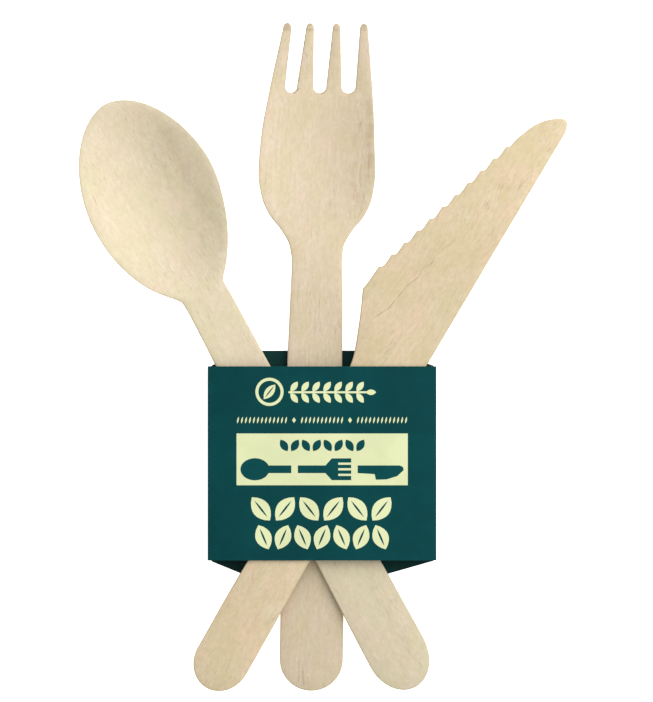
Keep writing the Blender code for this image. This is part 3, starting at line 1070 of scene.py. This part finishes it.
@dataclass
class SleevePrint:
    """The generic ornament of the front panel: sprig, beaded rule, label and leaf rows."""

    label: tuple[float, float, float, float] = (-21.15, -5.4, 21.2, 7.4)
    emblem_centre: Point = (-13.0, 17.7)
    emblem_radii: Point = (3.5, 2.75)
    stem: tuple[float, float, float, float] = (-8.3, 17.35, 11.0, 17.85)
    sprig_pairs: int = 7
    sprig_start: float = -6.9
    sprig_pitch: float = 2.72
    rule_start: float = -20.8
    rule_pitch: float = 0.99
    rule_height: float = 10.7
    rule_ticks: int = 43
    rule_diamonds: tuple[int, int] = (14, 28)
    small_leaves: int = 8
    small_leaf_start: Point = (-9.4, 4.45)
    small_leaf_pitch: float = 2.7
    cutlery_middle: float = -1.45
    grip: float = 0.95

    @staticmethod
    def leaf(centre: Point, length: float, width: float, angle: float,
             steps: int = 6) -> list[Point]:
        """Returns a pointed leaf.

        Args:
            centre: Middle of the leaf.
            length: From tip to tip.
            width: At the middle.
            angle: Direction of its length in degrees.
            steps: Segments along each side.

        Returns:
            The leaf's outline, counterclockwise.
        """
        side = [(-length / 2 + length * i / steps,
                 -width / 2 * math.sin(math.pi * i / steps) ** 0.8) for i in range(steps)]
        shape = side + [(-x, -y) for x, y in side]
        c, s = math.cos(math.radians(angle)), math.sin(math.radians(angle))
        return [(centre[0] + x * c - y * s, centre[1] + x * s + y * c) for x, y in shape]

    @staticmethod
    def disc(centre: Point, radius: float, steps: int = 28) -> list[Point]:
        """Returns a round spot."""
        return arc(centre, radius, radius, 0, 360, steps)[:-1]

    @staticmethod
    def bar(left: float, low: float, right: float, high: float) -> list[Point]:
        """Returns a rectangle."""
        return [(left, low), (right, low), (right, high), (left, high)]

    def motifs(self) -> list[Motif]:
        """Returns every motif, each one after those it is printed over."""
        return [*self._emblem(), *self._sprig(), *self._beaded_rule(),
                Motif(self.bar(*self.label), Print.LABEL), *self._label_row(),
                *self._cutlery_row(),
                *self._leaf_row((-18.1, 17.7), -11.25, 6, (7.3, 4.3), 52),
                *self._leaf_row((-16.9, 16.9), -18.25, 7, (6.5, 4.0), 67)]

    def _emblem(self) -> list[Motif]:
        """Returns a ring with a leaf inside it."""
        centre, (outer, inner) = self.emblem_centre, self.emblem_radii
        return [Motif(self.disc(centre, outer)), Motif(self.disc(centre, inner), Print.GREEN),
                Motif(self.leaf(centre, 4.6, 2.2, 52)),
                Motif(self.leaf(centre, 3.6, 0.34, 52), Print.GREEN)]

    def _sprig(self) -> list[Motif]:
        """Returns a long sprig: a thin stem with pairs of leaves and one at its tip."""
        found = [Motif(self.bar(*self.stem))]
        for pair in range(self.sprig_pairs):
            x = self.sprig_start + pair * self.sprig_pitch
            found += [Motif(self.leaf((x, 19.0), 3.0, 1.5, 54)),
                      Motif(self.leaf((x, 16.2), 3.0, 1.5, -54))]
        return found + [Motif(self.leaf((12.1, 17.6), 2.6, 1.4, 0))]

    def _beaded_rule(self) -> list[Motif]:
        """Returns a fine rule of short upright ticks, parted by small diamonds."""
        found: list[Motif] = []
        y = self.rule_height
        for step in range(self.rule_ticks):
            x = self.rule_start + step * self.rule_pitch
            if step in self.rule_diamonds:
                found.append(Motif([(x, y - 0.7), (x + 0.5, y), (x, y + 0.7), (x - 0.5, y)]))
            elif all(abs(step - diamond) > 1 for diamond in self.rule_diamonds):
                found.append(Motif(self.leaf((x, y), 1.75, 0.42, 78, 4)))
        return found

    def _label_row(self) -> list[Motif]:
        """Returns a centred row of small dark leaves at the top of the label."""
        x, y = self.small_leaf_start
        return [Motif(self.leaf((x + step * self.small_leaf_pitch, y), 3.4, 1.9,
                                58 if step % 2 else 122), Print.DARK_INK)
                for step in range(self.small_leaves)]

    def _cutlery_row(self) -> list[Motif]:
        """Returns a bold dark spoon, fork and knife, lying in a row along the label."""
        y, grip = self.cutlery_middle, self.grip
        spoon = [self.bar(-15.0, y - grip, -7.6, y + grip),
                 arc((-16.6, y), 3.6, 2.75, 0, 360, 28)[:-1]]
        fork = [self.bar(-6.0, y - grip, 1.2, y + grip),
                [(0.8, y - 0.9), (2.4, y - 2.7), (7.2, y - 2.7), (7.2, y + 2.7),
                 (2.4, y + 2.7), (0.8, y + 0.9)]]
        gaps = [self.bar(4.0, y + gap - 0.27, 7.25, y + gap + 0.27) for gap in (-1.38, 0.0, 1.38)]
        knife = [(8.8, y - grip), (13.0, y - 1.2), (13.3, y - 2.6), (16.0, y - 2.5),
                 (18.6, y - 1.7), (20.2, y - 0.2), (20.0, y + 0.6), (19.2, y + grip),
                 (8.8, y + grip)]
        return [*(Motif(shape, Print.DARK_INK) for shape in spoon + fork),
                *(Motif(gap, Print.LABEL) for gap in gaps), Motif(knife, Print.DARK_INK)]

    def _leaf_row(self, span: Point, y: float, count: int, size: Point, slope: float
                  ) -> list[Motif]:
        """Draws a row of bold leaves with a dark midrib.

        Args:
            span: Left and right end of the row.
            y: Height of the row's middle.
            count: Number of leaves.
            size: Length and width of a leaf.
            slope: How steeply the leaves stand, in degrees, to one side and the other.

        Returns:
            The leaves and their midribs.
        """
        found: list[Motif] = []
        pitch = (span[1] - span[0]) / count
        for step in range(count):
            centre = (span[0] + pitch * (step + 0.5), y)
            angle = slope if step % 2 else 180 - slope
            found += [Motif(self.leaf(centre, size[0], size[1], angle, 8)),
                      Motif(self.leaf(centre, size[0] * 0.72, 0.5, angle, 5), Print.GREEN)]
        return found


@dataclass
class CardSleeve:
    """One sheet folded into a flat tube, glued along a flap inside its back panel."""

    node: str = "card_sleeve"
    slot: str = "green_card"
    front_half: float = 28.3
    back_half: float = 28.15
    half_height: float = 24.0
    low_corner: float = 24.36
    inner_top: float = 6.4
    fold: float = 0.5
    top_reach: tuple[float, float, float] = (27.9, -17.5, 17.5)
    low_reach: tuple[float, float, float] = (27.68, -20.0, 16.5)
    back_fill: tuple[float, ...] = (-24.0, -6.0, 0.0, 8.0, 22.0)
    flap_edge: float = -15.0
    free_edge: float = -27.1
    flap_slant: float = 3.2
    flap_setback: float = 0.35
    crease: float = 0.06
    cut_edge: float = 0.07
    artwork: SleevePrint = field(default_factory=SleevePrint)

    def reach(self, x: float, z: float, on_back: bool, side: int) -> float:
        """Works out how far the card reaches at a station, with its slanted cut corners.

        Args:
            x: The station's x.
            z: The station's height.
            on_back: Whether it lies on the back panel, not on a side or the front.
            side: 1 for the upper end and -1 for the lower end.

        Returns:
            The reach from the sleeve's middle.
        """
        base = self.half_height if side > 0 else self.low_corner
        if not on_back:
            share = min(1.0, z / (self.inner_top + CARD - self.fold))
            return base + (self.half_height - base) * share
        far, left, right = self.top_reach if side > 0 else self.low_reach
        corner = left if x < 0 else right
        slant = (self.back_half - abs(x)) / (self.back_half - abs(corner))
        return base + (far - base) * min(1.0, max(0.0, slant))

    def flap_end(self, x: float) -> float:
        """Returns where the glue flap's slanted end lies at x."""
        share = (x + self.back_half) / (self.flap_edge + self.back_half)
        end = self.half_height - self.flap_setback
        return end - self.flap_slant * min(1.0, max(0.0, share))

    def section(self) -> list[Station]:
        """Returns the section as stations: outer point, inner point, on the back, lift."""
        r, top = self.fold, self.inner_top + CARD
        found: list[Station] = []
        _, *top_corners = self.top_reach
        _, *low_corners = self.low_reach
        back_xs = {self.free_edge, self.flap_edge - self.crease, self.flap_edge,
                   self.back_half - r, *top_corners, *low_corners, *self.back_fill}
        for x in sorted(back_xs):
            found.append(((x, 0.0), (x, CARD), True, CARD if x < self.flap_edge else 0.0))
        found += self._fold((self.back_half - r, r), 1, -90)[1:]
        found += self._fold((self.front_half - r, top - r), 1, 0)
        found += list(reversed(self._fold((self.front_half - r, top - r), -1, 0)))
        low = [((x, z + CARD), (ix, iz + CARD), back, lift) for (x, z), (ix, iz), back, lift
               in self._fold((self.back_half - r, r), -1, -90)]
        found += list(reversed(low))
        found.append(((self.free_edge - 0.12, CARD), (self.free_edge - 0.1, 2 * CARD),
                      True, 0.0))
        found.append(((self.free_edge - 0.02, 0.06), (self.free_edge - 0.05, 2 * CARD),
                      True, 0.0))
        return found

    def _fold(self, centre: Point, side: int, start: float) -> list[Station]:
        """Rounds one fold of the card.

        Args:
            centre: Centre of the fold.
            side: 1 for the fold on the right, or -1 for its mirror image.
            start: Angle at which the fold starts, in degrees.

        Returns:
            The stations round the fold.
        """
        found = []
        for step in range(6):
            a = math.radians(start + 18 * step)
            c, s = math.cos(a), math.sin(a)
            outer = (side * (centre[0] + self.fold * c), centre[1] + self.fold * s)
            less = self.fold - CARD
            inner = (side * (centre[0] + less * c), centre[1] + less * s)
            found.append((outer, inner, False, 0.0))
        return found

    def rows(self, x: float, z: float, on_back: bool, lift: float
             ) -> list[tuple[float, float]]:
        """Places the rows of the tube at one station.

        Args:
            x: The station's x.
            z: The station's height.
            on_back: Whether it lies on the back panel.
            lift: How far the glue flap lifts the inner face there.

        Returns:
            For each row its y and the share of the lift that it takes.
        """
        flap = self.flap_end(x) if lift else self.half_height - 2.0
        top, low = self.reach(x, z, on_back, 1), self.reach(x, z, on_back, -1)
        flat = [-low, -low + self.cut_edge, -flap - self.crease]
        flat_top = [flap + self.crease, top - self.cut_edge, top]
        return ([(y, 0.0) for y in flat] + [(y, 1.0) for y in spread(-flap, flap, flap / 4)]
                + [(y, 0.0) for y in flat_top])

    def build(self) -> bpy.types.Object:
        """Builds the folded tube, with the printed front panel cut along its motifs.

        Returns:
            The sleeve, not yet dressed.
        """
        stations = self.section()
        count = len(stations)
        verts: list[Point3] = []
        for (ox, oz), (ix, iz), on_back, lift in stations:
            for y, share in self.rows(ox, oz, on_back, lift):
                verts.append((ox, y, oz))
                verts.append((ix, y, iz + lift * share))
        rows = len(verts) // (2 * count)
        front = self._front_station(stations)
        faces: list[Sequence[int]] = []
        inks: list[Print] = []

        def at(station: int, row: int, inner: int) -> int:
            """Returns the index of a vertex of the tube."""
            return ((station % count) * rows + row) * 2 + inner

        for i in range(count):
            for row in range(rows - 1):
                if i != front:
                    faces.append((at(i, row, 0), at(i + 1, row, 0), at(i + 1, row + 1, 0),
                                  at(i, row + 1, 0)))
                    inks.append(Print.GREEN)
                faces.append((at(i, row, 1), at(i, row + 1, 1), at(i + 1, row + 1, 1),
                              at(i + 1, row, 1)))
                inks.append(Print.INSIDE)
            last = rows - 1
            faces.append((at(i, 0, 0), at(i, 0, 1), at(i + 1, 0, 1), at(i + 1, 0, 0)))
            faces.append((at(i, last, 0), at(i + 1, last, 0), at(i + 1, last, 1), at(i, last, 1)))
            inks += [Print.CORE, Print.CORE]
        self._print_front(verts, faces, inks, at, front, rows)
        faces = [tuple(reversed(f)) for f in faces]
        piece = new_object("sleeve_card", verts, faces, sharp=30.0)
        for polygon, ink in zip(piece.data.polygons, inks):
            polygon.material_index = ink.value
        rim = piece.data.attributes.new("rim", "FLOAT", "POINT")
        for i in range(count):
            for row in (0, rows - 1):
                rim.data[at(i, row, 0)].value = 0.5
        return piece

    def _front_station(self, stations: Sequence[Station]) -> int:
        """Finds the flat front panel.

        Args:
            stations: The section's stations.

        Returns:
            The station at the panel's right end.
        """
        top = self.inner_top + CARD
        for i, station in enumerate(stations):
            after = stations[(i + 1) % len(stations)]
            if abs(station[0][1] - top) < 1e-6 and abs(after[0][1] - top) < 1e-6:
                return i
        raise ValueError("the section has no front panel")

    def _print_front(self, verts: list[Point3], faces: list[Sequence[int]],
                     inks: list[Print], at: Callable[[int, int, int], int], front: int,
                     rows: int) -> None:
        """Fills the front panel with triangles that follow the printed motifs.

        Args:
            verts: The sleeve's vertices, added to in place.
            faces: The sleeve's faces, added to in place.
            inks: What each face carries, added to in place.
            at: Finds a vertex of the tube.
            front: The station at the panel's right end.
            rows: The number of rows in the tube.
        """
        right = [at(front, row, 0) for row in range(rows)]
        left = [at(front + 1, row, 0) for row in reversed(range(rows))]
        border = right + left
        flat: list[Point] = [verts[i][:2] for i in border]
        edges = [(i, (i + 1) % len(border)) for i in range(len(border))]
        edges += [(row, 2 * rows - 1 - row) for row in (1, rows - 2)]
        motifs = self.artwork.motifs()
        for motif in motifs:
            start = len(flat)
            size = len(motif.outline)
            flat += motif.outline
            edges += [(start + i, start + (i + 1) % size) for i in range(size)]
        points, tris, place = triangulated(flat, edges)
        known = {place[i]: border[i] for i in range(len(border))}
        top = self.inner_top + CARD
        numbers: list[int] = []
        for i, (x, y) in enumerate(points):
            if i in known:
                numbers.append(known[i])
            else:
                numbers.append(len(verts))
                verts.append((x, y, top))
        for tri in tris:
            middle = (sum(points[i][0] for i in tri) / 3, sum(points[i][1] for i in tri) / 3)
            ink = Print.GREEN
            for motif in motifs:
                if within(middle, motif.outline):
                    ink = motif.ink
            faces.append(tuple(numbers[i] for i in reversed(tri)))
            inks.append(ink)

    def dress(self, piece: bpy.types.Object, effects: Effects) -> None:
        """Gives the sheet its print and ties it to the frame.

        Args:
            piece: The built sleeve.
            effects: The shared shader effects.
        """
        for surface in Print:
            piece.data.materials.append(CARD_FINISHES[surface].make(effects))
        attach(piece, BODY)
        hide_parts(self.node)


# Studio

@dataclass(frozen=True)
class Studio:
    """The pale table, the soft light and the camera that looks straight down on it."""

    view_centre: Point = (1.1, 27.8)
    view_width: float = 162.0
    lens: float = 200.0
    sensor: float = 36.0
    key_power: float = 15.2
    key_size: float = 1.6
    key_place: Point3 = (0.62, 0.45, 0.75)
    key_aim: Point3 = (0.0, 0.03, 0.0)
    fill: float = 0.66
    table_half: float = 1500.0
    table_level: float = -0.02
    table_glow: float = 0.8
    stack_middle: float = 4.0

    def floor(self) -> None:
        """Lays the table under the pack."""
        half, low = self.table_half, self.table_level
        floor = new_object("floor", [(-half, -half, low), (half, -half, low),
                                     (half, half, low), (-half, half, low)], [(0, 1, 2, 3)])
        mat = bpy.data.materials.new("floor_white")
        mat.use_nodes = True
        shader = mat.node_tree.nodes["Principled BSDF"]
        shader.inputs["Base Color"].default_value = (0.94, 0.94, 0.94, 1.0)
        shader.inputs["Roughness"].default_value = 0.9
        shader.inputs["Specular IOR Level"].default_value = 0.0
        shader.inputs["Emission Color"].default_value = (1.0, 1.0, 1.0, 1.0)
        shader.inputs["Emission Strength"].default_value = self.table_glow
        floor.data.materials.append(mat)

    def lights(self) -> None:
        """Lights the table from a bright room and one large soft lamp at the upper right."""
        scene = bpy.context.scene
        world = bpy.data.worlds.new("room")
        world.use_nodes = True
        sky = world.node_tree.nodes["Background"]
        sky.inputs["Color"].default_value = (1.0, 1.0, 1.0, 1.0)
        sky.inputs["Strength"].default_value = self.fill
        scene.world = world
        lamp = bpy.data.lights.new("key", "AREA")
        lamp.shape, lamp.size, lamp.energy = "DISK", self.key_size, self.key_power
        holder = bpy.data.objects.new("key", lamp)
        holder.location = self.key_place
        aim = Vector(self.key_aim) - holder.location
        holder.rotation_euler = aim.to_track_quat("-Z", "Y").to_euler()
        scene.collection.objects.link(holder)
        scene.view_settings.view_transform = "Standard"

    def camera(self) -> None:
        """Hangs the camera over the pack, with +Y up in the picture."""
        lens = bpy.data.cameras.new("camera")
        lens.lens, lens.sensor_width, lens.sensor_fit = self.lens, self.sensor, "HORIZONTAL"
        lens.clip_start, lens.clip_end = 0.01, 10.0
        holder = bpy.data.objects.new("camera", lens)
        distance = self.view_width * self.lens / self.sensor + self.stack_middle
        holder.location = (self.view_centre[0] * MM, self.view_centre[1] * MM, distance * MM)
        bpy.context.scene.collection.objects.link(holder)
        bpy.context.scene.camera = holder


def fork_birch() -> Birch:
    """Returns the fork's greyish wood: split end, a streaky right side partly darkened with
    painted shade, and darker tine tips.
    """
    handle_end = (SplitAndShade(-3.0, 1.4, 6.5, -0.03, 0.26, 0.2, 0.4),
                  SplitAndShade(-1.7, 0.7, 4.5, -0.12, 0.26, 0.2, 0.4),
                  SplitAndShade(-0.4, 0.5, 3.0, -0.2, 0.16, 0.2, 0.35))
    waist = (SplitAndShade(0.7, 92.0, 5.5, 0.02, 0.16, 0.15, 0.35),
             SplitAndShade(-4.6, 96.0, 5.0, 0.02, 0.14, 0.15, 0.22))
    # Grain and painted shade: a hairline and soft dark streaks down the right slope of the dished
    # head.
    right_side_streaks_and_shade = (SplitAndShade(12.6, 127.0, 9.0, 0.0, 0.2, 0.3, 0.35),
                  SplitAndShade(12.9, 125.0, 24.0, 0.0, 1.7, 0.6, 0.26),
                  SplitAndShade(8.6, 117.0, 30.0, 0.05, 1.2, 1.2, 0.12),
                  SplitAndShade(10.8, 116.0, 20.0, 0.0, 0.5, 0.8, 0.16))
    # Short dark marks at the bottoms of the first two slots.
    dark_slot_bottoms = (SplitAndShade(-6.3, 147.9, 1.5, 1.0, 0.42, 0.0, 1.0),
                  SplitAndShade(0.75, 147.9, 1.1, 1.0, 0.42, 0.0, 0.8))
    tine_tips = tuple(SplitAndShade(x, 162.9, 6.0, width=1.9, wander=0.0, depth=0.42)
                      for x in (-7.9, -2.3, 4.25, 11.0))
    return Birch("fork_birch", pale=(0.685, 0.592, 0.445), warm=(0.635, 0.52, 0.345),
                 rose=(0.705, 0.543, 0.440), fibre=(0.47, 0.385, 0.26), seed=3.0,
                 butt_tone=0.87, splits_and_shades=handle_end + waist + right_side_streaks_and_shade + dark_slot_bottoms + tine_tips)


def spoon_birch() -> Birch:
    """Returns the spoon's pale wood: a nick at the rim and soft streaks along the bowl, the
    widest of them painted shade on the bowl's right slope.
    """
    splits_and_shades = (SplitAndShade(-13.1, 141.5, 2.6, 0.05, 0.2, 0.15, 0.4),
              # Painted shade: the wide olive streak darkens the bowl's right slope, which faces
              # away from the lamp.
              SplitAndShade(10.3, 119.0, 38.0, -0.01, 2.8, 1.5, 0.15),
              SplitAndShade(4.6, 116.0, 40.0, 0.03, 1.3, 2.0, 0.08),
              SplitAndShade(-5.0, 114.0, 36.0, -0.04, 1.0, 2.0, 0.05))
    return Birch("spoon_birch", pale=(0.715, 0.635, 0.475), warm=(0.665, 0.575, 0.39),
                 rose=(0.735, 0.585, 0.455), fibre=(0.52, 0.44, 0.295), seed=7.0,
                 butt_tone=0.865, splits_and_shades=splits_and_shades)


def knife_birch() -> Birch:
    """Returns the knife's golden wood, with a long crooked split behind the heel."""
    splits_and_shades = (SplitAndShade(-17.75, 98.0, 6.2, 0.47, 0.18, 0.12, 0.62),
              SplitAndShade(-15.75, 102.0, 9.2, 0.18, 0.17, 0.15, 0.62),
              SplitAndShade(-14.25, 110.0, 3.4, 0.38, 0.15, 0.10, 0.5),
              SplitAndShade(-13.35, 115.0, 3.4, 0.50, 0.15, 0.15, 0.45),
              SplitAndShade(-12.4, 119.6, 7.6, 0.42, 0.14, 0.3, 0.4))
    return Birch("knife_birch", pale=(0.650, 0.55, 0.385), warm=(0.59, 0.475, 0.295),
                 rose=(0.690, 0.515, 0.370), fibre=(0.45, 0.355, 0.215), seed=12.0,
                 butt_tone=0.98, tip_tone=1.09, splits_and_shades=splits_and_shades)


def cutlery() -> list[WoodenPiece]:
    """Returns the fork, spoon and knife, from the lowest to the highest."""
    return [Fork("fork", "fork_wood", fork_birch(), place=(-2.76, -56.38), lean=0.73, level=1.5),
            Spoon("spoon", "spoon_wood", spoon_birch(), place=(22.64, -54.58), lean=-28.2,
                  level=3.4),
            Knife("knife", "knife_wood", knife_birch(), place=(-22.32, -58.04), lean=30.48,
                  level=5.3, step=1.8, fill_from=98.0)]


def main() -> None:
    """Builds the studio, the cutlery and the sleeve, and logs each piece."""
    logging.basicConfig(level=logging.INFO, format="%(name)s: %(message)s")
    studio = Studio()
    studio.floor()
    studio.lights()
    studio.camera()
    effects = Effects()
    for maker in [*cutlery(), CardSleeve()]:
        piece = maker.build()
        maker.dress(piece, effects)
        LOG.info("%s: %d faces", piece.name, len(piece.data.polygons))


if __name__ == "__main__":
    main()
